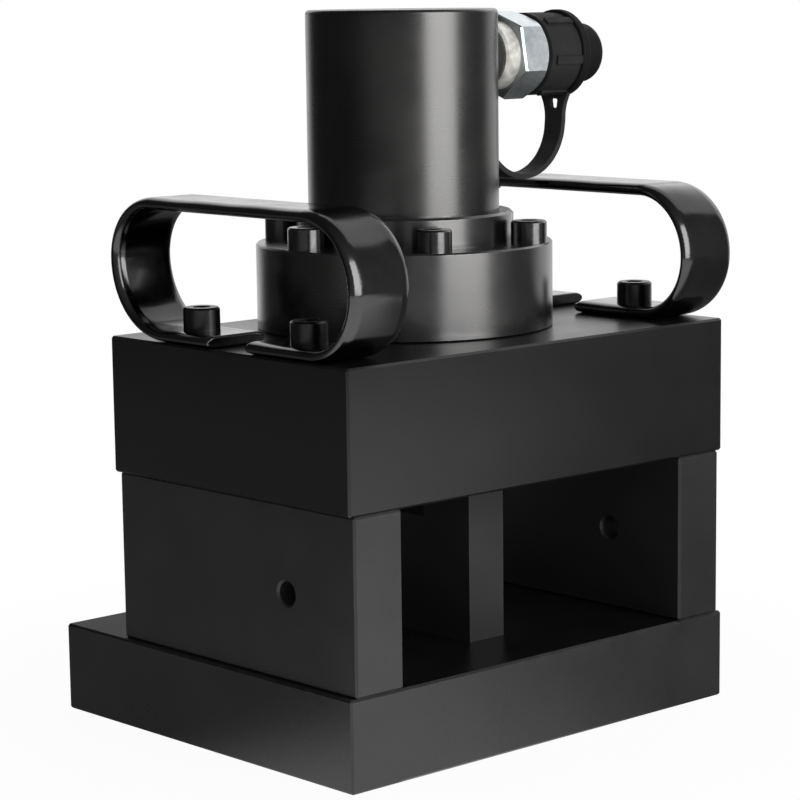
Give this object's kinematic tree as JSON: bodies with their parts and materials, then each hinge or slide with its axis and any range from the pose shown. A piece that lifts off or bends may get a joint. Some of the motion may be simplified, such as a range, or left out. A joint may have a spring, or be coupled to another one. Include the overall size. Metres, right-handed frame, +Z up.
{
  "type": "hydraulic angle steel punching machine",
  "caption": "Hydraulic angle steel punching machine: heavy box frame with a die post in its window, a flanged cylinder on top that drives a punch, strip loop handles and a capped quick coupler.",
  "frame": {"origin": "on the underside of the base plate, under the middle of that plate", "axes": "+Z up along the ram, -Y towards the front faces of the window, +X towards the coupler"},
  "size_m": [0.189, 0.1649, 0.2578],
  "materials": {
    "frame_black": "satin black over ground plate",
    "tool_steel": "ground, hardened",
    "black_oxide": "black oxide, slightly glossy",
    "handle_black": "glossy black enamel",
    "cylinder_satin": "satin gunmetal, turned",
    "turned_steel": "turned",
    "rod_chrome": "hard chrome, polished",
    "bush_bronze": "turned bronze",
    "seal_rubber": "matte",
    "ring_plastic": "matte",
    "spring_steel": "drawn wire",
    "zinc_plate": "bright zinc plate",
    "cap_rubber": "matte moulded rubber"
  },
  "bodies": {
    "frame": {"base_plate": "frame_black", "left_side_plate": "frame_black", "right_side_plate": "frame_black", "top_block": "frame_black", "die_post": "frame_black", "die": "tool_steel", "frame_tie_screws": "black_oxide", "post_screws": "black_oxide", "die_screws": "black_oxide", "left_handle": "handle_black", "right_handle": "handle_black", "handle_screws": "black_oxide", "cylinder_flange": "cylinder_satin", "flange_screws": "black_oxide", "cylinder_barrel": "cylinder_satin", "rod_guide_bush": "bush_bronze", "rod_wiper": "seal_rubber", "return_spring": "spring_steel", "coupler_washer": "zinc_plate", "coupler_body": "zinc_plate", "poppet_spring": "spring_steel", "cap_strap": "cap_rubber"},
    "ram": {"piston": "turned_steel", "piston_wear_ring": "ring_plastic", "piston_backup_ring": "ring_plastic", "piston_seal": "seal_rubber", "piston_rod": "rod_chrome", "punch_nut": "tool_steel", "punch": "tool_steel"},
    "poppet": {"coupler_poppet": "turned_steel"},
    "cap": {"dust_cap": "cap_rubber"}
  },
  "joints": [
    {"name": "ram_slide", "type": "slide", "parent": "frame", "child": "ram", "axis": [0, 0, -1], "range_m": [0, 0.012], "stiffness_N_per_m": 12000, "springref_m": -0.015, "deforming": ["return_spring"]},
    {"name": "poppet_slide", "type": "slide", "parent": "frame", "child": "poppet", "axis": [-1, 0, 0], "range_m": [0, 0.003], "stiffness_N_per_m": 2000, "springref_m": -0.002, "deforming": ["poppet_spring"]},
    {"name": "cap_slide", "type": "slide", "parent": "frame", "child": "cap", "axis": [1, 0, 0], "range_m": [0, 0.024], "deforming": ["cap_strap"]}
  ]
}
